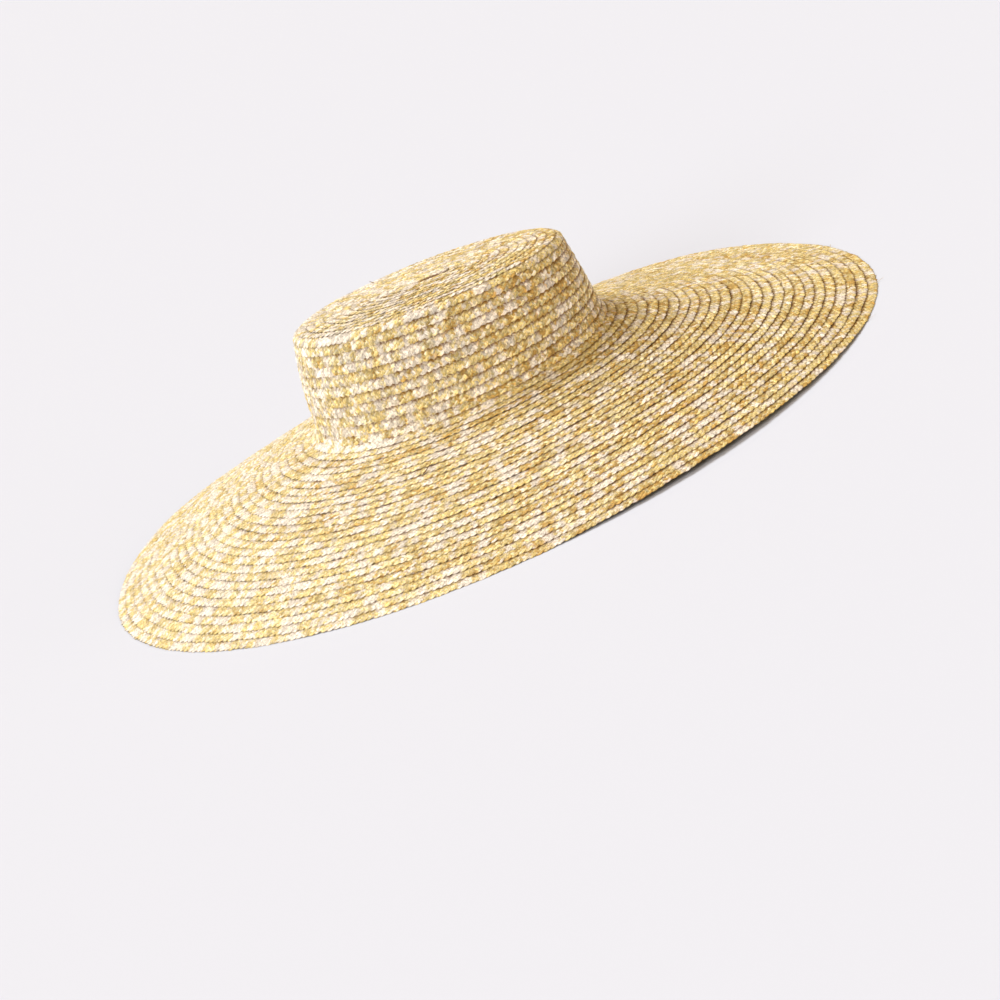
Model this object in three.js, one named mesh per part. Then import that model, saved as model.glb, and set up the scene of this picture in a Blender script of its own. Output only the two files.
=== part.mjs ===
// A wide straw hat with a flat top, sewn from one plaited braid that runs in a spiral from the
// middle of the top to the rim. Each row of braid laps over the next row further out, so the outside
// is a staircase of low steps. Millimetres, +Z up. The hat stands on its rim at z = 0, and its front
// points towards -Y.
import * as THREE from "three";

// Oval of the head, measured over the straw where the crown meets the brim.
const FOOT_LENGTH = 200;
const FOOT_WIDTH = 176;

// The crown above its foot. Its top is tilted a little: forwards, and down on the wearer's left.
const CROWN_HEIGHT = 65.5;
const CROWN_TAPER = 6.8;
const CROWN_BULGE = 1.4;
const TILT_FORWARD = 2.7;
const TILT_LEFT = 5;
const CORNER_RADIUS = 7;
const TIP_DOME = 2;

// The brim, measured along its slope.
const BRIM_WIDTH = 174;

// Braid: rows of each piece, wall of one row, and how far the edge of a row stands proud.
const TIP_ROWS = 13;
const SIDE_ROWS = 10;
const BRIM_ROWS = 26;
const WALL = 1.6;
const ROW_STEP = 0.6;
const STEP_RUN = 0.7;

// Clearance between neighbouring pieces.
const SEAM_GAP = 0.3;

// The sewn edge of the rim, and the level sole under it that the hat stands on.
const RIM_DEPTH = 1.3;
const RIM_ROUND = 0.6;
const SOLE_WIDTH = 2.8;

// How much of the springy rim settles flat where it touches the surface.
const SETTLE = 0.8;

// Facets round each piece.
const BRIM_SEGMENTS = 44;
const CROWN_SEGMENTS = 36;

// Height of the rim in twelve directions, counted in degrees from the front round by the wearer's
// left side. lift is the rim's height over the surface, and bow is how far the middle of the slope
// stands off a straight line, as a share of the drop: negative bows upwards.
const BRIM_SECTIONS = [
  { direction: 0, lift: 0.0, bow: 0.0 },
  { direction: 30, lift: 1.5, bow: 0.1 },
  { direction: 60, lift: 4.5, bow: 0.12 },
  { direction: 90, lift: 0.5, bow: 0.08 },
  { direction: 120, lift: 0.0, bow: -0.02 },
  { direction: 150, lift: 4.5, bow: -0.2 },
  { direction: 180, lift: 2.0, bow: -0.33 },
  { direction: 210, lift: 0.0, bow: -0.42 },
  { direction: 240, lift: 0.0, bow: -0.45 },
  { direction: 270, lift: 0.0, bow: -0.4 },
  { direction: 300, lift: 4.0, bow: -0.3 },
  { direction: 330, lift: 2.5, bow: -0.13 },
];

// Height of the crown's foot over the surface.
const FOOT_HEIGHT = 52;

// Where along the slope the sole begins and ends.
const SOLE_END = BRIM_WIDTH - RIM_ROUND;
const SOLE_START = SOLE_END - SOLE_WIDTH;

const FULL_TURN = 360;

// A column of the brim table in any direction, as a smooth curve through its rows.
function brimValue(column, direction) {
  const count = BRIM_SECTIONS.length;
  const place = (direction / FULL_TURN) * count;
  const row = Math.floor(place);
  const t = place - row;
  const value = (step) => BRIM_SECTIONS[(row + step + count) % count][column];
  const [before, from, to, after] = [value(-1), value(0), value(1), value(2)];
  const slope = to - before;
  const bend = 2 * before - 5 * from + 4 * to - after;
  const twist = 3 * from - before - 3 * to + after;
  return 0.5 * (2 * from + slope * t + bend * t * t + twist * t * t * t);
}

// The point of an oval that lies `outward` beyond the crown's foot oval, at a height over the
// surface.
function ovalPoint(direction, outward, height) {
  const angle = THREE.MathUtils.degToRad(direction);
  const across = FOOT_WIDTH / 2 + outward;
  const along = FOOT_LENGTH / 2 + outward;
  return new THREE.Vector3(across * Math.sin(angle), -along * Math.cos(angle), height);
}

// Height of the rim's sole over the surface.
function soleHeight(direction) {
  return Math.max(brimValue("lift", direction) - SETTLE, 0);
}

// A point of the brim, `run` along its slope from the crown's foot and `lift` above its surface.
function brimPoint(direction, run, lift) {
  const drop = FOOT_HEIGHT - RIM_DEPTH - soleHeight(direction);
  const bow = brimValue("bow", direction);
  const share = Math.max(run, 0) / BRIM_WIDTH;
  const reach = Math.sqrt(BRIM_WIDTH ** 2 - drop ** 2);
  const outward = (run / BRIM_WIDTH) * reach;
  const height = FOOT_HEIGHT - drop * share * (1 + bow * (1 - share));
  const fall = run < 0 ? 0 : (drop * (1 + bow * (1 - 2 * share))) / reach;
  const normal = new THREE.Vector2(fall, 1).normalize();
  const point = ovalPoint(direction, outward + lift * normal.x, height + lift * normal.y);
  if (lift <= -RIM_DEPTH && run >= SOLE_START) {
    point.z = soleHeight(direction);
  }
  return point;
}

// Lengths along the crown's outline from the middle of the top, in the narrow direction.
const TIP_FLAT = FOOT_WIDTH / 2 - CROWN_TAPER - CORNER_RADIUS;
const CORNER_LENGTH = (CORNER_RADIUS * Math.PI) / 2;
const SIDE_STRAIGHT = CROWN_HEIGHT - TIP_DOME - CORNER_RADIUS;
const CROWN_OUTLINE = TIP_FLAT + CORNER_LENGTH + SIDE_STRAIGHT;

// The top's spiral ends three quarters of the way round the corner, where its last row laps over the
// first row of the side.
const TIP_LENGTH = TIP_FLAT + CORNER_LENGTH * 0.75;

// A point of the crown, `run` along its outline from the middle of the top and `lift` off its
// surface.
function crownPoint(direction, run, lift) {
  const normal = new THREE.Vector2(0, 1);
  let outward = run - FOOT_WIDTH / 2;
  let height = CROWN_HEIGHT - TIP_DOME * (run / TIP_FLAT) ** 2;
  if (run > TIP_FLAT) {
    const turn = Math.min((run - TIP_FLAT) / CORNER_RADIUS, Math.PI / 2);
    normal.set(Math.sin(turn), Math.cos(turn));
    outward = TIP_FLAT - FOOT_WIDTH / 2 + CORNER_RADIUS * normal.x;
    height = SIDE_STRAIGHT + CORNER_RADIUS * normal.y;
  }
  const down = (run - TIP_FLAT - CORNER_LENGTH) / SIDE_STRAIGHT;
  if (down > 0) {
    outward += CROWN_TAPER * down + CROWN_BULGE * 4 * down * (1 - down);
    height = SIDE_STRAIGHT * (1 - down);
  }
  const point = ovalPoint(direction, outward + lift * normal.x, height + lift * normal.y);
  const tilt = THREE.MathUtils.degToRad(point.z / CROWN_HEIGHT);
  point.applyEuler(new THREE.Euler(TILT_FORWARD * tilt, TILT_LEFT * tilt, 0));
  point.z += FOOT_HEIGHT + SEAM_GAP;
  return point;
}

// The stepped outer face of rows of braid between two stations along the outline: each row rises
// towards its lower edge and then steps down to the next row.
function steppedFace(start, end, rows) {
  const pitch = (end - start) / rows;
  const points = [];
  for (let row = 0; row < rows; row += 1) {
    const top = start + row * pitch;
    points.push(new THREE.Vector2(row === 0 ? top : top + STEP_RUN, 0));
    points.push(new THREE.Vector2(top + pitch, ROW_STEP));
  }
  return points;
}

// The plain inner face, back from one station to another.
function innerFace(start, end, steps) {
  const points = [];
  for (let step = 0; step <= steps; step += 1) {
    points.push(new THREE.Vector2(start + ((end - start) * step) / steps, -WALL));
  }
  return points;
}

// One piece of the hat: its profile of (run, lift) points, outer face first, is turned flat round the
// axis, and each point is then carried onto the hat by place().
function turnedPiece(name, outline, segments, place, material) {
  const profile = [...outline].reverse();
  const geometry = new THREE.LatheGeometry(profile, segments);
  const position = geometry.getAttribute("position");
  for (let segment = 0; segment <= segments; segment += 1) {
    const direction = ((segment % segments) / segments) * FULL_TURN;
    profile.forEach((station, index) => {
      const point = place(direction, station.x, station.y);
      position.setXYZ(segment * profile.length + index, point.x, point.y, point.z);
    });
  }
  geometry.computeVertexNormals();
  const mesh = new THREE.Mesh(geometry, material);
  mesh.name = name;
  return mesh;
}

function crownTip(material) {
  const profile = [
    ...steppedFace(0, TIP_LENGTH, TIP_ROWS),
    ...innerFace(TIP_LENGTH, TIP_FLAT, 2),
    ...innerFace(TIP_FLAT * 0.8, 0, 4),
  ];
  return turnedPiece("crown_tip", profile, CROWN_SEGMENTS, crownPoint, material);
}

function crownSide(material) {
  const start = TIP_LENGTH + SEAM_GAP;
  const profile = [
    ...steppedFace(start, CROWN_OUTLINE, SIDE_ROWS),
    ...innerFace(CROWN_OUTLINE, start, SIDE_ROWS),
  ];
  profile.push(profile[0].clone());
  return turnedPiece("crown_side", profile, CROWN_SEGMENTS, crownPoint, material);
}

function brim(material) {
  const profile = [
    new THREE.Vector2(-WALL, 0),
    ...steppedFace(0, BRIM_WIDTH, BRIM_ROWS),
    new THREE.Vector2(BRIM_WIDTH, -RIM_DEPTH / 2),
    new THREE.Vector2(SOLE_END, -RIM_DEPTH),
    new THREE.Vector2(SOLE_START, -RIM_DEPTH),
    ...innerFace(SOLE_START - 2 * SOLE_WIDTH, 0, BRIM_ROWS / 2),
    new THREE.Vector2(-WALL, -WALL),
  ];
  profile.push(profile[0].clone());
  return turnedPiece("brim", profile, BRIM_SEGMENTS, brimPoint, material);
}

const straw = {
  tip: new THREE.MeshStandardMaterial({ color: 0xe3c98f, roughness: 0.55, metalness: 0 }),
  side: new THREE.MeshStandardMaterial({ color: 0xd8b878, roughness: 0.55, metalness: 0 }),
  brim: new THREE.MeshStandardMaterial({ color: 0xe0c68c, roughness: 0.55, metalness: 0 }),
};

const hat = new THREE.Group();
hat.add(crownTip(straw.tip), crownSide(straw.side), brim(straw.brim));

export default hat;
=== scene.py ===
"""Looks of a wide straw hat with a flat top, sewn in a spiral from one plaited wheat straw braid.

The braid is modelled as it is made: five straws plaited flat, laid row on row from the middle of
the top down the side and out to the rim, with each row lapping over the next one further out.
Places are in metres in the hat's own frame, and the driving sizes below are in millimetres.
"""
import logging
import math
from dataclasses import dataclass, field
from enum import Enum

import bmesh
import bpy
import numpy as np
from mathutils import Matrix, Vector


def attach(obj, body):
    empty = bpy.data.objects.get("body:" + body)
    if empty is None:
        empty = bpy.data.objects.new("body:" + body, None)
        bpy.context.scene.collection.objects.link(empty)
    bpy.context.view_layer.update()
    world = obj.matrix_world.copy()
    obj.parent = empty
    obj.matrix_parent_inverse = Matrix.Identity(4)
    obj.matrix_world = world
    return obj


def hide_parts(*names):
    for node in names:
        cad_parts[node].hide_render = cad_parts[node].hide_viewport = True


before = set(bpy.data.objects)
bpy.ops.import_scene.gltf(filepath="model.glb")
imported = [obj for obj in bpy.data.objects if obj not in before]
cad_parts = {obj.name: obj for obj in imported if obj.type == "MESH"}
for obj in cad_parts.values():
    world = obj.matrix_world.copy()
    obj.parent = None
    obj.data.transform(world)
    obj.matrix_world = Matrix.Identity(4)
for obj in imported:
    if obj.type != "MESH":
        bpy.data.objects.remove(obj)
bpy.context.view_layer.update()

log = logging.getLogger("hat")
MM = 0.001
FULL_TURN = 360.0
BODY = "root"
Points = np.ndarray

# Height in mm under which no straw goes, so that the hat rests on the floor and not in it.
LEAST_HEIGHT = 0.03

# The four corners of a straw's lens-shaped section: one edge, the top, the other edge, the bottom.
CORNERS = 4
CORNER_SIDES = (1.0, 0.0, -1.0, 0.0)
CORNER_HEIGHTS = (0.0, 1.0, 0.0, -1.0)
CORNER_SHARES = (0.0, 0.5, 1.0, 0.5)

# Range in which most of a noise lies, by the numbers of a map range node's inputs.
NOISE_RANGE = {1: 0.3, 2: 0.7}


def srgb(code: str) -> tuple[float, float, float, float]:
    """Turn an sRGB hex colour into linear RGBA.

    Args:
        code: Six hex digits, with or without a leading hash.

    Returns:
        Linear red, green, blue and an alpha of one.
    """
    levels = [int(code.lstrip("#")[i:i + 2], 16) / 255 for i in (0, 2, 4)]
    linear = [v / 12.92 if v <= 0.04045 else ((v + 0.055) / 1.055) ** 2.4 for v in levels]
    return (*linear, 1.0)


def add_node(tree: bpy.types.NodeTree, kind: str, settings: dict | None = None,
             links: dict | None = None) -> bpy.types.Node:
    """Add one shader node with its settings and links.

    Args:
        tree: Node tree that the node goes into.
        kind: Blender's name of the node type.
        settings: Values by attribute name, or by input name or number for sockets.
        links: Output sockets by the input name or number that each one feeds.

    Returns:
        The new node.
    """
    node = tree.nodes.new(kind)
    for name, value in (settings or {}).items():
        if isinstance(name, str) and hasattr(node, name):
            setattr(node, name, value)
        else:
            node.inputs[name].default_value = value
    for name, socket in (links or {}).items():
        tree.links.new(socket, node.inputs[name])
    return node


def calc(tree: bpy.types.NodeTree, operation: str, *terms: object,
         clamp: bool = False) -> bpy.types.NodeSocket:
    """Work out a value with one math node.

    Args:
        tree: Node tree that the node goes into.
        operation: Blender's name of the operation.
        terms: Numbers or sockets, in the order of the node's inputs.
        clamp: Whether the value is held between 0 and 1.

    Returns:
        The socket that gives the value.
    """
    numbers = {i: term for i, term in enumerate(terms) if isinstance(term, float)}
    sockets = {i: term for i, term in enumerate(terms) if i not in numbers}
    settings = {"operation": operation, "use_clamp": clamp, **numbers}
    return add_node(tree, "ShaderNodeMath", settings, sockets).outputs[0]


def first_ring(bm: bmesh.types.BMesh) -> tuple[list, list]:
    """Start a tube with one ring in a mesh, and give the ring's vertices and edges."""
    ring = bmesh.ops.create_circle(bm, segments=CORNERS, radius=1.0)["verts"]
    return ring, list(dict.fromkeys(edge for vert in ring for edge in vert.link_edges))


def next_ring(bm: bmesh.types.BMesh, edges: list) -> tuple[list, list]:
    """Carry a tube on by one ring.

    Args:
        bm: Mesh that the tube is in.
        edges: Edges of the last ring.

    Returns:
        The vertices and the edges of the new ring.
    """
    made = bmesh.ops.extrude_edge_only(bm, edges=edges)["geom"]
    ring = [part for part in made if isinstance(part, bmesh.types.BMVert)]
    return ring, [part for part in made if isinstance(part, bmesh.types.BMEdge)
                  and all(vert in ring for vert in part.verts)]


def close_ends(bm: bmesh.types.BMesh) -> None:
    """Close the open ends of every tube in a mesh, and turn its faces outwards."""
    ends = [edge for edge in bm.edges if edge.is_boundary]
    bmesh.ops.holes_fill(bm, edges=ends, sides=CORNERS)
    bmesh.ops.recalc_face_normals(bm, faces=bm.faces)


def smooth(share: Points) -> Points:
    """Ease a share from 0 to 1, level at both ends."""
    held = np.clip(share, 0.0, 1.0)
    return held * held * (3.0 - 2.0 * held)


@dataclass(frozen=True)
class Wave:
    """One random wandering: how far it goes, its spacing in mm, and the number of its track."""

    amount: float
    spacing: float
    track: int = 0


class Wander:
    """Gentle random wandering along a length, the same on every run."""

    track_gap: float = 613.0

    def __init__(self, seed: int, size: int = 8192) -> None:
        """Draw the table of random levels from -1 to 1."""
        self.levels = np.random.default_rng(seed).uniform(-1.0, 1.0, size)

    def along(self, place: Points, wave: Wave, strand: Points | float = 0.0) -> Points:
        """Read one wandering at some places.

        Args:
            place: Distances along the braid in mm.
            wave: The wandering.
            strand: Number of the strand, so that each wanders by itself.

        Returns:
            Levels from minus to plus the wave's amount, joined smoothly.
        """
        x = place / wave.spacing + (np.asarray(strand) + wave.track) * self.track_gap
        low = np.floor(x).astype(int)
        ease = smooth(x - low)
        size = len(self.levels)
        level = self.levels[low % size] * (1 - ease) + self.levels[(low + 1) % size] * ease
        return wave.amount * level


@dataclass(frozen=True)
class HatForm:
    """The outer surface of the hat in mm.

    The driving sizes are those of its solids. foot_flare is this file's own: how far up the side
    and out on the brim the braid leaves the sharp corner at the crown's foot in a soft curve.
    Directions count from the front round by the wearer's left. lifts and bows have a value for
    every 30 degrees of them.
    """

    foot_length: float = 200.0
    foot_width: float = 176.0
    foot_height: float = 52.0
    crown_height: float = 65.5
    crown_taper: float = 6.8
    crown_bulge: float = 1.4
    tilt_forward: float = 2.7
    tilt_left: float = 5.0
    corner_radius: float = 7.0
    tip_share_of_corner: float = 0.75
    tip_dome: float = 2.0
    brim_width: float = 174.0
    rim_depth: float = 1.3
    settle: float = 0.8
    seam_gap: float = 0.3
    foot_flare: float = 10.0
    lifts: tuple[float, ...] = (0.0, 1.5, 4.5, 0.5, 0.0, 4.5, 2.0, 0.0, 0.0, 0.0, 4.0, 2.5)
    bows: tuple[float, ...] = (0.0, 0.1, 0.12, 0.08, -0.02, -0.2, -0.33, -0.42, -0.45, -0.4, -0.3,
                               -0.13)

    @property
    def tip_flat(self) -> float:
        """Length from the middle of the top to where its corner starts."""
        return self.foot_width / 2 - self.crown_taper - self.corner_radius

    @property
    def corner_length(self) -> float:
        """Length of the outline round the corner of the top."""
        return self.corner_radius * math.pi / 2

    @property
    def side_straight(self) -> float:
        """Height of the side below the corner."""
        return self.crown_height - self.tip_dome - self.corner_radius

    @property
    def tip_length(self) -> float:
        """Length of the outline that the rows of the top cover."""
        return self.tip_flat + self.corner_length * self.tip_share_of_corner

    @property
    def crown_outline(self) -> float:
        """Length of the outline from the middle of the top to the foot."""
        return self.tip_flat + self.corner_length + self.side_straight

    def by_direction(self, rows: tuple[float, ...], direction: Points) -> Points:
        """Read a table of the brim in any direction, as a smooth closed curve.

        Args:
            rows: Values in evenly spaced directions.
            direction: Directions in degrees.

        Returns:
            The values there.
        """
        table = np.array(rows)
        place = direction / FULL_TURN * len(table)
        row = np.floor(place).astype(int)
        t = place - row
        before, here, after, later = (table[(row + step) % len(table)] for step in (-1, 0, 1, 2))
        bend = 2 * before - 5 * here + 4 * after - later
        twist = 3 * here - before - 3 * after + later
        return 0.5 * (2 * here + (after - before) * t + bend * t * t + twist * t ** 3)

    def oval(self, direction: Points, outward: Points, height: Points) -> Points:
        """Points of an oval round the crown's foot.

        Args:
            direction: Directions in degrees.
            outward: Distances out from the foot's own oval in mm.
            height: Heights over the floor in mm.

        Returns:
            Places in mm.
        """
        angle = np.radians(direction)
        return np.stack([(self.foot_width / 2 + outward) * np.sin(angle),
                         -(self.foot_length / 2 + outward) * np.cos(angle),
                         height + 0 * angle], axis=-1)

    def sole(self, direction: Points) -> Points:
        """Height of the rim's underside over the surface that the hat stands on."""
        return np.maximum(self.by_direction(self.lifts, direction) - self.settle, 0.0)

    def brim(self, direction: Points, run: Points, lift: Points) -> Points:
        """Carry points onto the brim.

        Args:
            direction: Directions in degrees.
            run: Distances along the slope from the crown's foot in mm.
            lift: Heights over the brim's surface in mm.

        Returns:
            Places in mm.
        """
        drop = self.foot_height - self.rim_depth - self.sole(direction)
        bow = self.by_direction(self.bows, direction)
        share = np.maximum(run, 0.0) / self.brim_width
        reach = np.sqrt(self.brim_width ** 2 - drop ** 2)
        height = self.foot_height - drop * share * (1 + bow * (1 - share))
        fall = np.where(run < 0, 0.0, drop * (1 + bow * (1 - 2 * share)) / reach)
        size = np.hypot(fall, 1.0)
        return self.oval(direction, run / self.brim_width * reach + lift * fall / size,
                         height + lift / size)

    def crown(self, direction: Points, run: Points, lift: Points) -> Points:
        """Carry points onto the crown.

        Args:
            direction: Directions in degrees.
            run: Distances along the outline from the middle of the top in mm.
            lift: Heights off the crown's surface in mm.

        Returns:
            Places in mm.
        """
        turn = np.clip((run - self.tip_flat) / self.corner_radius, 0.0, math.pi / 2)
        down = np.clip((run - self.tip_flat - self.corner_length) / self.side_straight, 0.0, None)
        side, up = np.sin(turn), np.cos(turn)
        flat = run <= self.tip_flat
        start = self.tip_flat - self.foot_width / 2
        outward = np.where(flat, run - self.foot_width / 2, start + self.corner_radius * side)
        outward = outward + np.where(down > 0, self.crown_taper * down
                                     + self.crown_bulge * 4 * down * (1 - down), 0.0)
        height = np.where(flat, self.crown_height - self.tip_dome * (run / self.tip_flat) ** 2,
                          self.side_straight + self.corner_radius * up)
        height = np.where(down > 0, self.side_straight * (1 - down), height)
        x, y, z = np.moveaxis(self.oval(direction, outward + lift * side, height + lift * up), -1, 0)
        tilt = np.radians(z / self.crown_height)
        left, forward = self.tilt_left * tilt, self.tilt_forward * tilt
        x, z = np.cos(left) * x + np.sin(left) * z, np.cos(left) * z - np.sin(left) * x
        y, z = np.cos(forward) * y - np.sin(forward) * z, np.sin(forward) * y + np.cos(forward) * z
        return np.stack([x, y, z + self.foot_height + self.seam_gap], axis=-1)

    def foot(self, direction: Points, past: Points, lift: Points) -> Points:
        """Carry points onto the soft flare in which the side runs out into the brim.

        Args:
            direction: Directions in degrees.
            past: Distances past the foot in mm, negative up the side.
            lift: Heights off the surface in mm.

        Returns:
            Places in mm.
        """
        reach, flat = self.foot_flare, np.zeros_like(past)
        share = np.clip((past + reach) / (2 * reach), 0.0, 1.0)[:, None]
        side = self.crown(direction, self.crown_outline - reach + flat, flat)
        corner = self.brim(direction, flat, flat)
        slope = self.brim(direction, reach + flat, flat)
        middle = (1 - share) ** 2 * side + 2 * share * (1 - share) * corner + share ** 2 * slope
        ahead = (1 - share) * (corner - side) + share * (slope - corner)
        outward = self.oval(direction, 1 + flat, flat) - self.oval(direction, flat, flat)
        run, down = (ahead * outward).sum(axis=-1), -ahead[:, 2]
        size = np.hypot(run, down)
        normal = outward * (down / size)[:, None]
        normal[:, 2] += run / size
        return middle + lift[:, None] * normal


class Region(Enum):
    """Part of the hat that a row of braid lies on."""

    TIP = "crown_tip"
    SIDE = "crown_side"
    BRIM = "brim"


@dataclass(frozen=True)
class Spiral:
    """The way of the braid over the hat: rows that each shift out by one at the back.

    Lengths are in mm, and places along the spiral count in rows from the middle of the top.
    """

    form: HatForm = field(default_factory=HatForm)
    tip_rows: int = 13
    side_rows: int = 10
    brim_rows: int = 26

    # Each row shifts out to the next before the seam, over a length and at least a share of a row.
    seam_direction: float = 150.0
    shift_length: float = 95.0
    least_shift: float = 0.12

    # The braid starts as a straight strip that is lifted over the top, bends, and comes down.
    core_start: float = -0.355
    core_straight: float = -0.2
    core_lift: float = 0.5
    core_end: float = 0.1
    core_fall: float = 0.3

    # Height of the braid's middle over the surface, and each row's rise towards its outer edge on
    # the top, the side and the brim.
    base_lift: float = -0.5
    lap_rises: tuple[float, float, float] = (0.78, 0.9, 1.0)

    # Share by which the brim's rows are pressed flat in one direction, and sinking at the rim.
    flattened: float = 0.35
    flattest_direction: float = 235.0
    rim_settle: float = 0.6

    # The end of the braid dips under the row before and draws in by a share of a row.
    tail_dip: float = 0.9
    tail_tuck: float = 0.5

    @property
    def rows(self) -> int:
        """Number of rows in all."""
        return self.tip_rows + self.side_rows + self.brim_rows

    def region(self, row: int) -> Region:
        """Part of the hat that a row lies on."""
        if row < self.tip_rows:
            return Region.TIP
        return Region.SIDE if row < self.tip_rows + self.side_rows else Region.BRIM

    def shown(self, region: Region) -> float:
        """How much of each row on one part of the hat shows, in mm."""
        form = self.form
        return {Region.TIP: form.tip_length / self.tip_rows,
                Region.SIDE: (form.crown_outline - form.tip_length) / self.side_rows,
                Region.BRIM: form.brim_width / self.brim_rows}[region]

    def pitch(self, row: int) -> float:
        """How much of a row shows, in mm."""
        return self.shown(self.region(row))

    def lap_slope(self, row: int) -> float:
        """How steeply a row rises outwards to lap over the next one."""
        rise = self.lap_rises[list(Region).index(self.region(row))]
        return rise / self.pitch(row)

    def centre(self, row: int) -> float:
        """Middle of a row as a length along the outline of its surface in mm."""
        region = self.region(row)
        first = {Region.TIP: 0, Region.SIDE: self.tip_rows,
                 Region.BRIM: self.tip_rows + self.side_rows}[region]
        start = self.form.tip_length if region is Region.SIDE else 0.0
        return start + (row - first + 0.5) * self.pitch(row)

    def around(self, row: int) -> float:
        """Rough distance round a row in mm."""
        form = self.form
        outward = self.centre(row) - (form.foot_width / 2 if self.region(row) is Region.TIP else 0)
        if self.region(row) is Region.SIDE:
            outward = -form.crown_taper / 2
        return math.pi * (form.foot_width + form.foot_length + 4 * outward) / 2

    def place(self, turns: Points, across: Points, height: Points) -> Points:
        """Carry points of the straight braid onto the hat.

        Args:
            turns: Places along the spiral, counted in rows from the middle of the top.
            across: Distances from the middle of the braid towards its outer edge in mm.
            height: Heights over the middle of the braid's thickness in mm.

        Returns:
            Places in mm.
        """
        rows = np.clip(np.floor(turns).astype(int), 0, self.rows - 1)
        result = np.zeros(turns.shape + (3,))
        for row in np.unique(rows):
            mask = rows == row
            result[mask] = self._place_row(int(row), turns[mask] - row, across[mask], height[mask])
        return result

    def _place_row(self, row: int, share: Points, across: Points, height: Points) -> Points:
        """Carry points of one row onto the hat, with its shift out to the next row.

        Args:
            row: Number of the row.
            share: Shares of the way round it.
            across: Distances towards the outer edge in mm.
            height: Heights over the middle of the braid in mm.

        Returns:
            Places in mm.
        """
        if row == 0:
            return self._core(share, across, height)
        direction = self.seam_direction + FULL_TURN * share
        length = min(1.0, max(self.least_shift, self.shift_length / self.around(row)))
        shift = smooth((share - 1.0 + length) / length)
        if row == self.rows - 1:
            return self._on_surface(row, direction, -self.tail_tuck * shift, across,
                                    height - self.tail_dip * shift, row)
        if self.region(row) is Region.SIDE and self.region(row + 1) is Region.BRIM:
            start = self._on_surface(row, direction, 0.0, across, height, row)
            end = self._on_surface(row + 1, direction, 0.0, across, height, row + 1)
            return start * (1 - shift)[:, None] + end * shift[:, None]
        return self._on_surface(row, direction, shift, across, height, row + 1)

    def _core(self, share: Points, across: Points, height: Points) -> Points:
        """Carry points of the first row onto the hat, with the straight start of the braid.

        The braid starts as a straight strip along the middle of the oval top, and the first row
        folds round its end.

        Args:
            share: Shares of the way round the row, below 0 on the straight start.
            across: Distances towards the outer edge in mm.
            height: Heights over the middle of the braid in mm.

        Returns:
            Places in mm.
        """
        bent = np.maximum(share, self.core_straight)
        raised = height + self.core_lift * smooth((self.core_end - share) / self.core_fall)
        laid = self._on_surface(0, self.seam_direction + FULL_TURN * bent, bent, across, raised, 1)
        nudge = 0.001
        ends = np.array([self.core_straight, self.core_straight + nudge])
        middle = np.zeros_like(ends)
        track = self._on_surface(0, self.seam_direction + FULL_TURN * ends, ends, middle, middle, 1)
        along = (track[1] - track[0]) / nudge
        return laid + np.minimum(share - self.core_straight, 0.0)[:, None] * along

    def _on_surface(self, row: int, direction: Points, shift: Points | float, across: Points,
                    height: Points, following: int) -> Points:
        """Carry points onto the surface of a row's region.

        Args:
            row: Number of the row.
            direction: Directions in degrees.
            shift: How far the points have shifted to the following row, as a share of the way.
            across: Distances from the middle of the braid towards its outer edge in mm.
            height: Heights over the middle of the braid's thickness in mm.
            following: Number of the row that they shift to.

        Returns:
            Places in mm.
        """
        slope = self.lap_slope(row) * (1 - shift) + self.lap_slope(following) * shift
        step = self.centre(following) - self.centre(row)
        if following == row or self.region(following) is Region.BRIM:
            step = self.pitch(row)
        run = self.centre(row) + shift * step + across
        on_brim = self.region(row) is Region.BRIM
        if on_brim:
            facing = 0.5 + 0.5 * np.cos(np.radians(direction - self.flattest_direction))
            slope = slope * (1 - self.flattened * facing)
        lift = self.base_lift + slope * across + height
        if on_brim:
            lift = lift - self.rim_settle * smooth(run / self.form.brim_width)
        place = (self.form.brim if on_brim else self.form.crown)(direction, run, lift)
        past = run if on_brim else run - self.form.crown_outline
        near = np.abs(past) < self.form.foot_flare
        if near.any():
            place[near] = self.form.foot(direction[near], past[near], lift[near])
        return place


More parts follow.
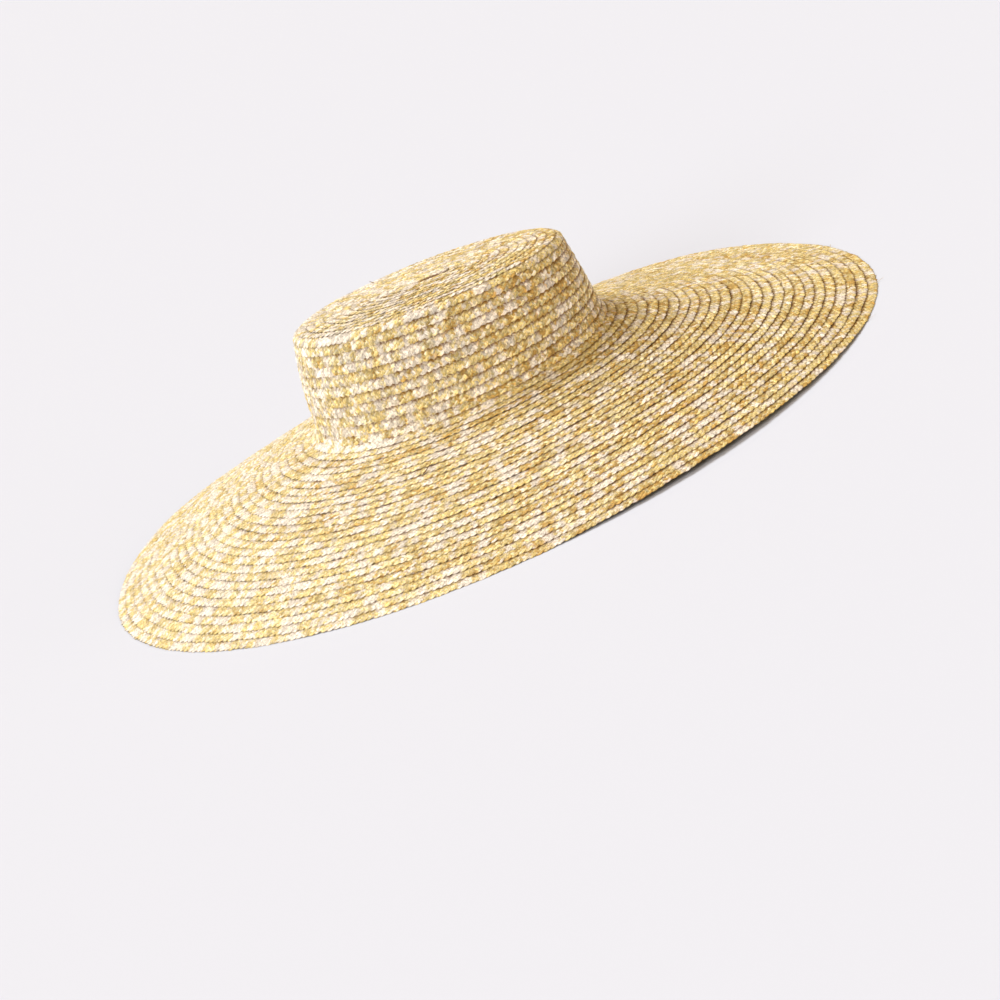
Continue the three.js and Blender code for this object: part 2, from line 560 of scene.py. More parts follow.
@dataclass(frozen=True)
class FlatPlait:
    """A flat plait of five straws, as one repeat between a straw's edge lobe and the next one's.

    Lengths are in mm. reach is from the middle of the plait to the middle of a straw at its edge.
    """

    strands: int = 5
    pitch: float = 4.7
    reach: float = 3.1
    straw_width: float = 2.75
    straw_thickness: float = 0.78

    # How far a straw rises over another and dips under one, at even steps of its way across and
    # back.
    rise: float = 0.28
    over_under: tuple[float, ...] = (0, 1, -1, 1, -1, 0, 1, -1, 1, -1, 0)

    # Droop of the outer edge, which comes late by its power, and of the inner edge.
    edge_droop: float = 0.1
    droop_power: float = 2.5
    inner_droop: float = 0.1

    # How sharply a straw turns at the outer and the inner edge, under 1.
    outer_turn: float = 0.99
    inner_turn: float = 0.85

    # Phases at which a straw has a ring of corners, and how near rings are joined.
    samples: tuple[float, ...] = (0.0, 0.05, 0.1, 0.15, 0.2, 0.3, 0.4, 0.5, 0.6, 0.7, 0.8, 0.85, 0.9,
                                  0.95, 1.0)
    weld: float = 0.02

    @property
    def half_width(self) -> float:
        """Distance from the middle of the plait to the edge of its lobes."""
        return self.reach + self.straw_width / 2

    @property
    def period(self) -> float:
        """Length in which one straw goes across the plait and back."""
        return self.pitch * self.strands

    def middle(self, phase: float) -> Vector:
        """Middle of a straw at a phase of its way across the plait and back.

        Args:
            phase: 0 at the outer edge, 0.5 at the inner edge and 1 back at the outer edge.

        Returns:
            Place along, towards the inner edge, and up, in mm.
        """
        swing = math.sin(2 * math.pi * (phase - 0.25))
        turn = self.outer_turn + (self.inner_turn - self.outer_turn) * (1 + swing) / 2
        side = math.asin(turn * swing) / math.asin(turn)
        step = phase % 1.0 * (len(self.over_under) - 1)
        low = int(step)
        ease = float(smooth(np.array(step - low)))
        level = self.over_under[low] * (1 - ease) + self.over_under[low + 1] * ease
        droop = (self.edge_droop * abs(side) ** self.droop_power if side < 0
                 else self.inner_droop * side * side)
        return Vector((phase * self.period, side * self.reach, level * self.rise - droop))

    def section(self, phase: float, corner: int) -> Vector:
        """One of the four corners of a straw's lens-shaped section.

        Args:
            phase: Phase of the straw there.
            corner: Number of the corner.

        Returns:
            Place from the straw's middle in mm.
        """
        step = 0.01
        ahead = self.middle(phase + step) - self.middle(phase - step)
        ahead.z = 0.0
        ahead.normalize()
        width = Vector((-ahead.y, ahead.x, 0.0)) * self.straw_width / 2
        up = Vector((0.0, 0.0, self.straw_thickness / 2))
        return width * CORNER_SIDES[corner] + up * CORNER_HEIGHTS[corner]

    def repeat(self) -> bpy.types.Mesh:
        """Make one repeat: five short lengths of straw that the next repeat carries on."""
        bm = bmesh.new()
        phases = bm.verts.layers.float.new("phase")
        corners = bm.verts.layers.int.new("corner")
        slack = 1e-6
        for strand in range(self.strands):
            low, high = strand / self.strands, (strand + 1) / self.strands
            steps = [s for s in self.samples if low - slack <= s <= high + slack]
            ring, edges = first_ring(bm)
            for corner, vert in enumerate(ring):
                vert[corners] = corner
            self._set_ring(ring, steps[0], low, phases, corners)
            for phase in steps[1:]:
                ring, edges = next_ring(bm, edges)
                self._set_ring(ring, phase, low, phases, corners)
        for edge in bm.edges:
            first, second = (vert[corners] for vert in edge.verts)
            if first == second and CORNER_SIDES[first]:
                edge.smooth = False
        bmesh.ops.recalc_face_normals(bm, faces=bm.faces)
        mesh = bpy.data.meshes.new("plait_repeat")
        bm.to_mesh(mesh)
        bm.free()
        return mesh

    def strand_at(self, phase: Points, along: Points, first: int) -> Points:
        """Number of the straw that has a phase at a distance along, after first repeats."""
        return np.round((phase * self.period - along) / self.pitch - first) % self.strands

    def _set_ring(self, ring: list, phase: float, start: float, phases: object,
                  corners: object) -> None:
        """Put a ring of four corners in place and note its phase.

        Args:
            ring: Vertices of the ring.
            phase: Phase of the straw there.
            start: Phase at which the repeat starts.
            phases: Layer that keeps the phase.
            corners: Layer that keeps the corner's number.
        """
        for vert in ring:
            vert[phases] = phase
            vert.co = self.middle(phase) + self.section(phase, vert[corners])
            vert.co.x -= start * self.period

    def length(self, repeats: int) -> bpy.types.Mesh:
        """Make a straight length of plait by an array of the repeat, closed at its ends.

        Args:
            repeats: Number of repeats.

        Returns:
            The mesh, in mm, along +X from 0.
        """
        unit = bpy.data.objects.new("plait_length", self.repeat())
        bpy.context.scene.collection.objects.link(unit)
        array = unit.modifiers.new("rows", "ARRAY")
        array.count = repeats
        array.use_relative_offset = False
        array.use_constant_offset = True
        array.constant_offset_displace = (self.pitch, 0.0, 0.0)
        array.use_merge_vertices = True
        array.merge_threshold = self.weld
        evaluated = unit.evaluated_get(bpy.context.evaluated_depsgraph_get())
        mesh = bpy.data.meshes.new_from_object(evaluated)
        bpy.data.objects.remove(unit)
        bm = bmesh.new()
        bm.from_mesh(mesh)
        close_ends(bm)
        bm.to_mesh(mesh)
        bm.free()
        return mesh


@dataclass(frozen=True)
class Crests:
    """A noise on a straw: crests to a metre along it, crests across it, and finer octaves."""

    per_metre: float
    per_width: float
    octaves: float


@dataclass(frozen=True)
class WheatStraw:
    """Split wheat straw, sun-bleached and plaited damp.

    It has a waxy, slightly glossy skin with fine fibres along it. The tone goes from ivory to
    honey from straw to straw, and pale patches are bleached nearly white; more of them are painted
    towards the lit side as painted light. Painted shade darkens its edges, crease and low places.
    """

    name: str = "split_wheat_straw"
    tones: tuple[tuple[float, str], ...] = (
        (0.0, "FFF8DC"), (0.12, "FAEEBE"), (0.28, "F2DF9C"), (0.42, "ECD78C"), (0.54, "E5C876"),
        (0.64, "F2EACC"), (0.74, "DEC070"), (0.82, "DAD298"), (0.9, "D9BA6C"), (1.0, "CCA65A"))
    bleached: str = "FFF9F1"
    # Dark brown of the painted shade.
    shade_colour: str = "683C02"
    smoothest: float = 0.34
    roughest: float = 0.52
    # Roughness rises where shade is painted.
    shade_roughness: float = 0.5
    gloss: float = 0.3
    ior: float = 1.5

    # The tone drifts along one straw, about 12 mm from crest to crest, and steps at its middle.
    drift: Crests = Crests(85.0, 0.0, 2.0)
    tone_drift: float = 0.45
    tone_step: float = 0.2
    most_bleached: float = 0.84

    # Bruises where the damp straw was bent, about 2.5 mm apart, and each crossing's own brightness.
    bruises: Crests = Crests(400.0, 1.8, 1.0)
    bruise_shades: tuple[float, float] = (0.62, 1.3)
    crossing_contrast: float = 0.4

    # Painted shade along the straw's edges, where it meets the next straw, and in its middle crease.
    edge_shade: float = 0.42
    edge_power: float = 2.8
    crease_shade: float = 0.14
    crease_power: float = 6.0
    most_shaded: float = 0.9

    # Dents from plaiting, about 1.5 mm apart.
    dents: Crests = Crests(700.0, 2.5, 1.0)
    dent_depth_mm: float = 0.45

    # Fibres 0.15 mm wide along the straw, drawn 0.4 mm wide so that they show.
    fibres: Crests = Crests(60.0, 7.0, 3.0)
    fibre_depth_mm: float = 0.06
    fibre_strength: float = 0.6

    def build(self) -> bpy.types.Material:
        """Make the material from the straw's own attributes."""
        material = bpy.data.materials.new(self.name)
        material.use_nodes = True
        tree = material.node_tree
        tree.nodes.clear()
        straw = self._read(tree, "straw")
        pale, lie_shade, crossing = self._read(tree, "lie")
        drift = self._noise(tree, straw, self.drift)
        skin = self._skin(tree, straw, drift, pale, crossing)
        # Painted shade: the colour is mixed towards dark brown on the straw's edges, in its crease,
        # under the laps and in the low places of the plait.
        shade_amount = self._shade_mask(tree, straw[1], lie_shade)
        colour = add_node(tree, "ShaderNodeMix", {"data_type": "RGBA", 7: srgb(self.shade_colour)},
                          {0: shade_amount, 6: skin})
        shine = add_node(tree, "ShaderNodeMapRange",
                         {**NOISE_RANGE, 3: self.smoothest, 4: self.roughest}, {0: drift})
        rough = calc(tree, "MULTIPLY_ADD", shade_amount, self.shade_roughness, shine.outputs[0], clamp=True)
        shader = add_node(tree, "ShaderNodeBsdfPrincipled",
                          {"IOR": self.ior, "Specular IOR Level": self.gloss},
                          {"Base Color": colour.outputs[2], "Roughness": rough,
                           "Normal": self._relief(tree, straw)})
        add_node(tree, "ShaderNodeOutputMaterial", links={0: shader.outputs[0]})
        return material

    def _skin(self, tree: bpy.types.NodeTree, straw: tuple, drift: bpy.types.NodeSocket,
              pale: bpy.types.NodeSocket, crossing: bpy.types.NodeSocket) -> bpy.types.NodeSocket:
        """Colour of the clean straw, with its pale patches, partly painted light, and bruises.

        Args:
            tree: The material's nodes.
            straw: Sockets of the place along and across the straw and of its number.
            drift: Socket of the drift of tone along it.
            pale: Socket of how pale it is, from bleached patches and painted light.
            crossing: Socket of the brightness of each crossing.

        Returns:
            Socket of the colour.
        """
        toned = calc(tree, "MULTIPLY_ADD", drift, 2 * self.tone_drift, -self.tone_drift)
        half = calc(tree, "GREATER_THAN", straw[1], 0.5)
        split = calc(tree, "MULTIPLY_ADD", half, self.tone_step, toned)
        ramp = add_node(tree, "ShaderNodeValToRGB",
                        links={0: calc(tree, "ADD", straw[2], split, clamp=True)})
        self._fill(ramp.color_ramp, self.tones)
        # Pale patches and painted light on the lit side mix towards the palest colour.
        faced = add_node(tree, "ShaderNodeMix", {"data_type": "RGBA", 7: srgb(self.bleached)},
                         {0: calc(tree, "MULTIPLY", pale, self.most_bleached), 6: ramp.outputs[0]})
        dark, light = self.bruise_shades
        shade = add_node(tree, "ShaderNodeMapRange", {**NOISE_RANGE, 3: dark, 4: light},
                         {0: self._noise(tree, straw, self.bruises)})
        bright = calc(tree, "MULTIPLY_ADD", crossing, self.crossing_contrast,
                      1 - self.crossing_contrast / 2)
        skin = add_node(tree, "ShaderNodeVectorMath", {"operation": "SCALE"},
                        {0: faced.outputs[2],
                         3: calc(tree, "MULTIPLY", shade.outputs[0], bright)})
        return skin.outputs[0]

    def _shade_mask(self, tree: bpy.types.NodeTree, across: bpy.types.NodeSocket,
               lie_shade: bpy.types.NodeSocket) -> bpy.types.NodeSocket:
        """Share of painted shade on the straw's edges, in its crease, under the laps and in the low
        places.

        Args:
            tree: The material's nodes.
            across: Socket of the share across the straw.
            lie_shade: Socket of the painted shade under the laps and in the low places.

        Returns:
            Socket of the share.
        """
        off_middle = calc(tree, "ABSOLUTE", calc(tree, "MULTIPLY_ADD", across, 2.0, -1.0))
        edge = calc(tree, "POWER", off_middle, self.edge_power)
        crease = calc(tree, "POWER", calc(tree, "SUBTRACT", 1.0, off_middle), self.crease_power)
        creased = calc(tree, "MULTIPLY_ADD", crease, self.crease_shade, lie_shade)
        edged = calc(tree, "MULTIPLY_ADD", edge, self.edge_shade, creased, clamp=True)
        return calc(tree, "MULTIPLY", edged, self.most_shaded)

    def _relief(self, tree: bpy.types.NodeTree, straw: tuple) -> bpy.types.NodeSocket:
        """Relief of the fibres over the dents.

        Args:
            tree: The material's nodes.
            straw: Sockets of the place along and across the straw and of its number.

        Returns:
            Socket of the bent normal.
        """
        dented = add_node(tree, "ShaderNodeBump",
                          {"Strength": 1.0, "Distance": self.dent_depth_mm * MM},
                          {"Height": self._noise(tree, straw, self.dents)})
        bump = add_node(tree, "ShaderNodeBump",
                        {"Strength": self.fibre_strength, "Distance": self.fibre_depth_mm * MM},
                        {"Height": self._noise(tree, straw, self.fibres),
                         "Normal": dented.outputs[0]})
        return bump.outputs[0]

    @staticmethod
    def _read(tree: bpy.types.NodeTree, name: str) -> tuple:
        """Sockets of the three values that an attribute holds."""
        attribute = add_node(tree, "ShaderNodeAttribute", {"attribute_name": name})
        parts = add_node(tree, "ShaderNodeSeparateXYZ", links={0: attribute.outputs["Vector"]})
        return tuple(parts.outputs)

    @staticmethod
    def _fill(ramp: bpy.types.ColorRamp, stops: tuple[tuple[float, str], ...]) -> None:
        """Set the stops of a colour ramp.

        Args:
            ramp: The ramp.
            stops: Place and hex colour of each stop.
        """
        while len(ramp.elements) > 1:
            ramp.elements.remove(ramp.elements[-1])
        ramp.elements[0].position, ramp.elements[0].color = stops[0][0], srgb(stops[0][1])
        for place, code in stops[1:]:
            ramp.elements.new(place).color = srgb(code)

    @staticmethod
    def _noise(tree: bpy.types.NodeTree, straw: tuple, crests: Crests) -> bpy.types.NodeSocket:
        """Noise drawn along a straw, other on each straw.

        Args:
            tree: The material's nodes.
            straw: Sockets of the place along in metres, the share across and the straw's number.
            crests: How fine the noise is.

        Returns:
            Socket of the noise.
        """
        gap_between_straws = 91.0
        scales = (crests.per_metre, crests.per_width, gap_between_straws)
        places = {i: calc(tree, "MULTIPLY", straw[i], scale) for i, scale in enumerate(scales)}
        joined = add_node(tree, "ShaderNodeCombineXYZ", links=places)
        noise = add_node(tree, "ShaderNodeTexNoise", {"Scale": 1.0, "Detail": crests.octaves},
                         {"Vector": joined.outputs[0]})
        return noise.outputs["Fac"]


def dress(name: str, region: Region, mesh: bpy.types.Mesh,
          finish: bpy.types.Material) -> bpy.types.Object:
    """Make one piece of the hat from its mesh, hang it on the hat's body and hide the solid that it
    stands for.

    Args:
        name: Name of the piece.
        region: Part of the hat that the piece lies on.
        mesh: Its mesh, in place.
        finish: Its material.

    Returns:
        The piece.
    """
    mesh.name = name
    mesh.shade_smooth()
    mesh.materials.clear()
    mesh.materials.append(finish)
    piece = bpy.data.objects.new(name, mesh)
    bpy.context.scene.collection.objects.link(piece)
    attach(piece, BODY)
    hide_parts(region.value)
    return piece


@dataclass(frozen=True)
class RowLook:
    """How the braid lies and has aged on one part of the hat.

    Attributes:
        darkening: Darkness of the painted shade beside the lap of the row before.
        lap_shade_reach: How far it comes out from under the lap in mm.
        hollow_shade: Darkness of the painted shade in the low places of the plait.
        hollow_shade: Darkness of the low places of the plait.
        edge_sink: How far the outer edge is drawn down onto the next row in mm.
        row_wander: How far the course of a row wanders sideways in mm.
        lit_side_reach: Distance towards the back, the lit side, in mm over which the painted light
            gets full.
        unevenness: How much one crossing differs from the next in brightness.
        fading: How much more of the straw is pale, on the lit side or not.
    """

    darkening: float
    lap_shade_reach: float
    hollow_shade: float
    edge_sink: float
    row_wander: float
    lit_side_reach: float
    unevenness: float
    fading: float


@dataclass(frozen=True)
class StrawPoints:
    """Where each point of a length of plait is, with lengths in mm.

    Attributes:
        strand: Number of its straw in the plait.
        corner: Number of its corner in the straw's section.
        place: Distance along the braid.
        inward: Distance from the middle of the braid towards its inner edge.
        height: Height over the middle of its thickness.
        lit_side: How far towards the lit side it lies, up to 1, for the painted light.
    """

    strand: Points
    corner: Points
    place: Points
    inward: Points
    height: Points
    lit_side: Points


@dataclass
class Braid:
    """The braid over the whole hat, cut into lengths that are each one piece.

    lengths has the name of each piece, the part of the hat that it lies on, and the row in which
    it ends.
    """

    spiral: Spiral
    plait: FlatPlait
    finish: bpy.types.Material
    lengths: tuple[tuple[str, Region, float], ...] = (
        ("braid_crown_tip", Region.TIP, 13.0),
        ("braid_crown_side", Region.SIDE, 23.0),
        ("braid_brim_inner", Region.BRIM, 32.0),
        ("braid_brim_middle", Region.BRIM, 39.0),
        ("braid_brim_outer", Region.BRIM, 44.0),
        ("braid_brim_rim", Region.BRIM, 48.93),
    )
    # Each part's painted shade under the laps and in the low places, and the reach of the painted
    # light from the lit side.
    looks: dict[Region, RowLook] = field(default_factory=lambda: {
        Region.TIP: RowLook(darkening=0.78, lap_shade_reach=0.6, hollow_shade=0.7, edge_sink=0.1, row_wander=0.2,
                            lit_side_reach=80.0, unevenness=1.8, fading=0.2),
        Region.SIDE: RowLook(darkening=1.25, lap_shade_reach=0.3, hollow_shade=0.85, edge_sink=0.55, row_wander=0.14,
                             lit_side_reach=130.0, unevenness=1.9, fading=0.05),
        Region.BRIM: RowLook(darkening=0.92, lap_shade_reach=0.7, hollow_shade=0.72, edge_sink=0.0, row_wander=0.36,
                             lit_side_reach=220.0, unevenness=1.1, fading=0.0),
    })
    steps_per_row: int = 360
    seed: int = 11

    # Wandering of the row's course and height, and of each straw's place and thickness.
    row_waves: tuple[Wave, Wave] = (Wave(1.0, 37.0, 60), Wave(1.0, 7.0, 63))
    lift_wave: Wave = Wave(0.12, 29.0, 61)
    straw_wave: Wave = Wave(0.32, 4.3)
    height_wave: Wave = Wave(0.1, 3.7, 20)
    swell_wave: Wave = Wave(0.16, 3.1, 40)

    # The outer edge sinks the faster the further out, up to an end given in the plait's reach.
    edge_sink_power: float = 2.5
    edge_sink_end: float = 1.2

    # Straws spliced one after the other in each strand, and the range of their lengths in mm.
    straw_count: int = 833
    straw_lengths: tuple[float, float] = (90.0, 260.0)

    # Painted light from the lit side, behind the hat: its level at the middle and the least level.
    lit_side_middle: float = 0.3
    lit_side_least: float = -0.2

    # Pale patches, about 5 mm long, where a wandering level passes a start that is painted lower
    # towards the lit side.
    patch_wave: Wave = Wave(1.0, 4.8)
    straw_patch_wave: Wave = Wave(0.6, 3.0, 3)
    patch_start: float = 0.08
    patch_span: float = 0.6
    lit_side_paling: float = 0.35

    # Tone: straws towards the lit side are painted paler and differ less, and the tone wanders along
    # the braid.
    tone_wave: Wave = Wave(0.22, 7.0, 7)
    lit_side_evening: float = 0.3
    lit_side_tone: float = 0.04

    # Painted shade under the laps and in the low places, the heights and widths in mm over which it
    # fades, and how much lighter it is painted towards the lit side.
    lap_shade_wave: Wave = Wave(0.5, 4.0, 9)
    lap_shade_edge: float = 0.7
    lit_side_shade_cut: float = 0.7
    hollow_shade_top: float = 0.1
    hollow_shade_depth: float = 0.7
    hollow_shade_power: float = 1.5

    # Crossings, each with its own brightness from a table, and how they lag from straw to straw.
    crossings_per_repeat: int = 2
    crossing_lag: float = 0.4
    crossing_count: int = 30011

    def build(self) -> list[bpy.types.Object]:
        """Make every length of the braid, one after the other along the spiral."""
        start = self.spiral.core_start
        turns = np.linspace(start, self.spiral.rows, self.spiral.rows * self.steps_per_row + 1)
        middle = np.zeros_like(turns)
        before_end = 1e-9
        track = self.spiral.place(turns - before_end, middle, middle)
        gone = np.concatenate([[0.0], np.cumsum(np.linalg.norm(np.diff(track, axis=0), axis=1))])
        log.info("the braid is %.1f m long", gone[-1] * MM)
        pieces = []
        first = 0
        for name, region, end in self.lengths:
            low, high = np.interp([start, end], turns, gone)
            repeats = round((high - low) / self.plait.pitch)
            mesh = self.plait.length(repeats)
            scale = (high - low) / (repeats * self.plait.pitch)
            points = self._lay(mesh, region, first, low, scale, turns, gone)
            self._note(mesh, region, points)
            pieces.append(dress(name, region, mesh, self.finish))
            first += repeats
            start = end
        return pieces

    def _lay(self, mesh: bpy.types.Mesh, region: Region, first: int, low: float, scale: float,
             turns: Points, gone: Points) -> StrawPoints:
        """Carry a straight length of plait onto its part of the spiral.

        Args:
            mesh: The straight plait, changed in place.
            region: Part of the hat that it lies on.
            first: Number of repeats before it.
            low: Distance along the spiral at which it starts in mm.
            scale: Stretch that makes it end where the next length starts.
            turns: Stations along the spiral, in rows.
            gone: Distance along the spiral at each station in mm.

        Returns:
            Where each of its points is.
        """
        count = len(mesh.vertices)
        co = np.empty(count * 3, np.float32)
        mesh.vertices.foreach_get("co", co)
        x, y, z = co.reshape(-1, 3).astype(float).T
        phase = np.empty(count, np.float32)
        mesh.attributes["phase"].data.foreach_get("value", phase)
        corner = np.empty(count, np.int32)
        mesh.attributes["corner"].data.foreach_get("value", corner)
        offset = self._offsets(phase, corner)
        strand = self.plait.strand_at(phase, x - offset[:, 0], first)
        place = low + x * scale
        look = self.looks[region]

        wander = Wander(self.seed)
        swell = 1 + wander.along(place, self.swell_wave, strand)
        y = y - offset[:, 1] + wander.along(place, self.straw_wave, strand)
        z = z - offset[:, 2] + wander.along(place, self.height_wave, strand)
        y, z = y + offset[:, 1] * swell, z + offset[:, 2] * swell
        course = sum(wander.along(place, wave) for wave in self.row_waves)
        across = look.row_wander * course - y
        drawn = np.clip(across / self.plait.reach, 0.0, self.edge_sink_end)
        sink = look.edge_sink * drawn ** self.edge_sink_power
        height = z - sink + wander.along(place, self.lift_wave)
        laid = self.spiral.place(np.interp(place, gone, turns), across, height)
        laid[:, 2] = np.maximum(laid[:, 2], LEAST_HEIGHT)
        mesh.vertices.foreach_set("co", (laid * MM).astype(np.float32).ravel())
        mesh.update()
        # Painted light: how far each point lies towards the lit side, at the back.
        lit_side = np.clip(laid[:, 1] / look.lit_side_reach + self.lit_side_middle, self.lit_side_least, 1.0)
        return StrawPoints(strand, corner, place, y, z, lit_side)

    def _offsets(self, phase: Points, corner: Points) -> Points:
        """How far each point is from the middle of its straw.

        Args:
            phase: Phases of the points.
            corner: Numbers of their corners.

        Returns:
            Distances along, towards the inner edge, and up, in mm.
        """
        digits = 4
        keys, key = np.unique(np.round(phase.astype(float), digits), return_inverse=True)
        table = np.array([self.plait.section(k, turn) for k in keys for turn in range(CORNERS)])
        return table[key * CORNERS + corner]

    def _note(self, mesh: bpy.types.Mesh, region: Region, points: StrawPoints) -> None:
        """Note on each point where it is on its straw, for the finish to read.

        The attribute straw holds the distance along in metres, the share across and the straw's
        own number. The attribute lie holds how pale it is, partly by painted light, its painted
        shade, and the brightness of each crossing.

        Args:
            mesh: Mesh in place.
            region: Part of the hat that it lies on.
            points: Where each of its points is.
        """
        look = self.looks[region]
        rng = np.random.default_rng(self.seed + 1)
        wander = Wander(self.seed + 2)
        place, strand, lit_side = points.place, points.strand, points.lit_side

        number = np.zeros(len(place))
        for each in range(self.plait.strands):
            cuts = np.cumsum(rng.uniform(*self.straw_lengths, self.straw_count))
            tones = rng.uniform(0.0, 1.0, len(cuts) + 1)
            mask = strand == each
            number[mask] = tones[np.searchsorted(cuts, place[mask])]
        # Painted light: straws towards the lit side are paler and differ less.
        number = number * (1 - self.lit_side_evening * np.maximum(lit_side, 0.0))
        number = np.clip(number - wander.along(place, self.tone_wave) - self.lit_side_tone * lit_side,
                         0.0, 1.0)

        # Random pale patches, with more of them painted towards the lit side as painted light.
        patch = (wander.along(place, self.patch_wave)
                 + wander.along(place, self.straw_patch_wave, strand))
        pale = smooth((patch - self.patch_start + self.lit_side_paling * lit_side + look.fading)
                      / self.patch_span)

        # Painted shade in the low places of the plait and beside the lap of the row before, painted
        # lighter towards the lit side.
        hollow_shade = np.clip((self.hollow_shade_top - points.height) / self.hollow_shade_depth, 0.0, 1.0) ** self.hollow_shade_power
        lap = self.spiral.shown(region) - self.plait.half_width
        under_lap = smooth((points.inward - lap + look.lap_shade_reach) / self.lap_shade_edge)
        darkening = look.darkening * (1 - self.lit_side_shade_cut * lit_side) + wander.along(place, self.lap_shade_wave)
        lap_and_hollow_shade = np.clip(look.hollow_shade * hollow_shade + darkening * under_lap, 0.0, 1.0)

        crossing = np.floor(place / self.plait.pitch * self.crossings_per_repeat
                            + strand * self.crossing_lag).astype(int)
        entry = (crossing * self.plait.strands + strand.astype(int)) % self.crossing_count
        bright = rng.uniform(0.0, 1.0, self.crossing_count)[entry]
        bright = 0.5 + (bright - 0.5) * look.unevenness

        share = np.array(CORNER_SHARES)[points.corner]
        for name, values in (("straw", (place * MM, share, number)),
                             ("lie", (pale, lap_and_hollow_shade, bright))):
            layer = mesh.attributes.new(name, "FLOAT_VECTOR", "POINT")
            layer.data.foreach_set("vector", np.stack(values, -1).astype(np.float32).ravel())
        for name in ("phase", "corner"):
            mesh.attributes.remove(mesh.attributes[name])


@dataclass(frozen=True)
class StrayEnd:
    """End of a straw that slipped out of the plait, with sizes in mm.

    turn is its place in rows, and across its place from the middle of the braid towards the outer
    edge. heading is in degrees, from along the braid towards that edge. rise is how much higher
    its tip stands than its root.
    """

    turn: float
    across: float
    heading: float
    length: float
    rise: float
    width: float = 0.5
    tone: float = 0.5
    darkening: float = 0.0


@dataclass
class StrayEnds:
    """Loose straw ends, each a thin closed blade that narrows to its tip."""

    spiral: Spiral
    finish: bpy.types.Material
    ends: tuple[StrayEnd, ...] = (
        StrayEnd(9.915, 3.6, 70.0, 3.2, 1.3, 0.9, 1.0, 0.7),
        StrayEnd(30.303, 4.2, -48.0, 9.0, 3.0, 1.3, 1.0, 1.0),
        StrayEnd(31.208, 0.6, 25.0, 2.6, 1.2, 1.1, 1.0, 0.95),
        StrayEnd(35.62, 1.0, 14.0, 7.0, 1.2, 0.7, 0.05),
        StrayEnd(40.44, 0.5, -20.0, 8.0, 1.2, 0.7, 0.1),
        StrayEnd(48.581, 3.6, 48.0, 7.5, 0.9),
        StrayEnd(48.537, 3.6, 30.0, 10.0, 0.5),
        StrayEnd(48.505, 3.8, -30.0, 5.0, 0.3, 0.6, 0.8),
        StrayEnd(48.478, 3.8, 28.0, 5.5, 0.2, 0.6),
        StrayEnd(48.452, 3.8, 35.0, 4.5, 0.4, 0.6, 0.2),
        StrayEnd(48.421, 3.8, -25.0, 5.0, 0.2, 0.5, 0.7),
        StrayEnd(48.655, 3.7, 32.0, 5.0, 0.5),
    )
    steps: int = 5
    thickness: float = 0.3
    narrowing: float = 0.75
    root_height: float = 0.4
    rise_power: float = 1.5

    def build(self) -> list[bpy.types.Object]:
        """Make the ends, as one piece for each part of the hat that has any."""
        pieces = []
        for region in Region:
            own = [end for end in self.ends if self.spiral.region(int(end.turn)) is region]
            if own:
                pieces.append(self._piece(region, own))
        return pieces

    def _piece(self, region: Region, ends: list[StrayEnd]) -> bpy.types.Object:
        """Make the ends on one part of the hat.

        Args:
            region: The part of the hat.
            ends: The ends on it.

        Returns:
            The piece.
        """
        bm = bmesh.new()
        straw = bm.verts.layers.float_vector.new("straw")
        lie = bm.verts.layers.float_vector.new("lie")
        for end in ends:
            ring, edges = first_ring(bm)
            for corner, vert in enumerate(ring):
                vert[lie] = Vector((0.0, end.darkening, corner / CORNERS))
            self._set_ring(ring, end, 0.0, straw, lie)
            for step in range(1, self.steps + 1):
                ring, edges = next_ring(bm, edges)
                self._set_ring(ring, end, step / self.steps, straw, lie)
        close_ends(bm)
        name = f"stray_ends_{region.value}"
        mesh = bpy.data.meshes.new(name)
        bm.to_mesh(mesh)
        bm.free()
        return dress(name, region, mesh, self.finish)

    def _set_ring(self, ring: list, end: StrayEnd, share: float, straw: object,
                  lie: object) -> None:
        """Put one ring of a blade in place, at a share of its length.

        The last value of the attribute lie keeps the number of the corner from ring to ring. The
        finish reads it too, and shades the blade's four sides a little differently by it.

        Args:
            ring: Vertices of the ring.
            end: The straw end.
            share: Share of its length.
            straw: Layer of the attribute straw.
            lie: Layer of the attribute lie.
        """
        turn, size = math.radians(end.heading), 1.0 - self.narrowing * share
        ahead = share * end.length
        row = int(end.turn)
        for vert in ring:
            corner = round(vert[lie].z * CORNERS)
            side = CORNER_SIDES[corner] * end.width / 2 * size
            up = CORNER_HEIGHTS[corner] * self.thickness / 2 * size
            along = ahead * math.cos(turn) - side * math.sin(turn)
            across = end.across + ahead * math.sin(turn) + side * math.cos(turn)
            height = self.root_height + end.rise * share ** self.rise_power + up
            place = self.spiral.place(np.array([end.turn + along / self.spiral.around(row)]),
                                      np.array([across]), np.array([height]))[0]
            place[2] = max(place[2], LEAST_HEIGHT)
            vert.co = Vector(place) * MM
            vert[straw] = Vector((ahead * MM, CORNER_SHARES[corner], end.tone))


@dataclass(frozen=True)
class SoftLight:
    """A far softbox: light from one direction, spread over an angle in degrees."""

    name: str
    direction: tuple[float, float, float]
    spread: float
    strength: float
    tint: str = "FFFFFF"


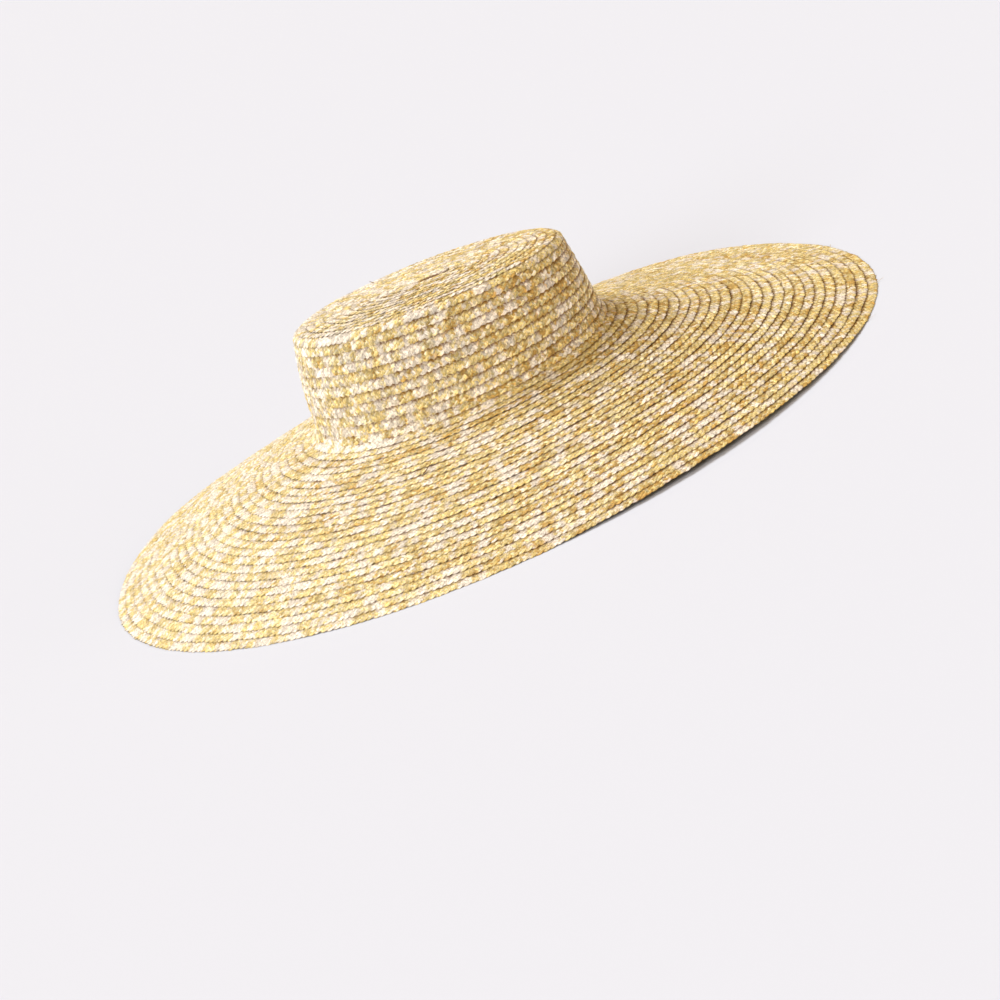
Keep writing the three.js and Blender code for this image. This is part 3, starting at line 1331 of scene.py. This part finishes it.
@dataclass(frozen=True)
class Studio:
    """Pale floor, soft light and the camera at the photograph's angle."""

    aim_mm: tuple[float, float, float] = (0.0, 0.0, 52.0)
    azimuth: float = 8.4905
    elevation: float = 17.0128
    roll: float = 25.2898
    distance: float = 3.7773
    focal_px: float = 5888.0
    aim_px: tuple[float, float] = (461.784, 372.633)
    frame_px: float = 1000.0
    sensor_mm: float = 36.0
    far_limit: float = 200.0
    floor_side: float = 60.0
    floor_tint: str = "D3DAE9"
    floor_roughness: float = 0.9
    world_tint: str = "FFDFB4"
    world_strength: float = 0.45
    lights: tuple[SoftLight, ...] = (
        SoftLight("key_softbox", (0.3, 0.5, 0.8), 40.0, 2.58),
        SoftLight("side_softbox", (-0.8, 0.4, 0.45), 30.0, 1.36),
        SoftLight("fill_card", (-0.35, -0.9, 0.25), 60.0, 0.66, "FFEEDC"),
    )

    def build(self) -> None:
        """Set up everything round the hat."""
        self._floor()
        self._world()
        for light in self.lights:
            self._softbox(light)
        self._camera()

    def _floor(self) -> None:
        """Lay the pale floor."""
        bm = bmesh.new()
        bmesh.ops.create_grid(bm, x_segments=1, y_segments=1, size=self.floor_side / 2)
        mesh = bpy.data.meshes.new("studio_floor")
        bm.to_mesh(mesh)
        bm.free()
        material = bpy.data.materials.new("matt_studio_paper")
        material.use_nodes = True
        shader = material.node_tree.nodes["Principled BSDF"]
        shader.inputs["Base Color"].default_value = srgb(self.floor_tint)
        shader.inputs["Roughness"].default_value = self.floor_roughness
        mesh.materials.append(material)
        floor = bpy.data.objects.new("studio_floor", mesh)
        bpy.context.scene.collection.objects.link(floor)

    def _world(self) -> None:
        """Fill the room with even pale light."""
        world = bpy.data.worlds.new("studio_air")
        bpy.context.scene.world = world
        world.use_nodes = True
        back = world.node_tree.nodes["Background"]
        back.inputs["Color"].default_value = srgb(self.world_tint)
        back.inputs["Strength"].default_value = self.world_strength

    def _softbox(self, light: SoftLight) -> None:
        """Set one far softbox, facing the hat.

        Args:
            light: The softbox.
        """
        lamp = bpy.data.lights.new(light.name, "SUN")
        lamp.angle = math.radians(light.spread)
        lamp.energy = light.strength
        lamp.color = srgb(light.tint)[:3]
        direction = Vector(light.direction).normalized()
        holder = bpy.data.objects.new(light.name, lamp)
        holder.location = Vector(self.aim_mm) * MM + direction
        holder.rotation_euler = (-direction).to_track_quat("-Z", "Y").to_euler()
        bpy.context.scene.collection.objects.link(holder)

    def _camera(self) -> None:
        """Set the camera where the photograph was taken from, with the photograph's roll."""
        turn, rise, roll = (math.radians(v) for v in (self.azimuth, self.elevation, self.roll))
        back = Vector((-math.cos(turn) * math.cos(rise), -math.sin(turn) * math.cos(rise),
                       math.sin(rise)))
        level = (-back).cross(Vector((0.0, 0.0, 1.0))).normalized()
        upright = level.cross(-back)
        right = math.cos(roll) * level - math.sin(roll) * upright
        up = math.cos(roll) * upright + math.sin(roll) * level
        off = [(px - self.frame_px / 2) / self.focal_px * self.distance for px in self.aim_px]
        place = Vector(self.aim_mm) * MM - right * off[0] + up * off[1] + back * self.distance
        lens = bpy.data.cameras.new("photo_camera")
        lens.lens = self.focal_px / self.frame_px * self.sensor_mm
        lens.sensor_width = self.sensor_mm
        lens.clip_end = self.far_limit
        camera = bpy.data.objects.new("photo_camera", lens)
        camera.matrix_world = (Matrix.Translation(place)
                               @ Matrix((right, up, back)).transposed().to_4x4())
        bpy.context.scene.collection.objects.link(camera)
        bpy.context.scene.camera = camera


def main() -> None:
    """Build the hat and its studio, and log how many faces each piece has."""
    logging.basicConfig(level=logging.INFO, format="%(name)s: %(message)s")
    bpy.context.scene.view_settings.view_transform = "Standard"
    Studio().build()
    straw = WheatStraw().build()
    spiral = Spiral()
    for piece in Braid(spiral, FlatPlait(), straw).build() + StrayEnds(spiral, straw).build():
        log.info("%s: %d faces", piece.name, len(piece.data.polygons))


if __name__ == "__main__":
    main()
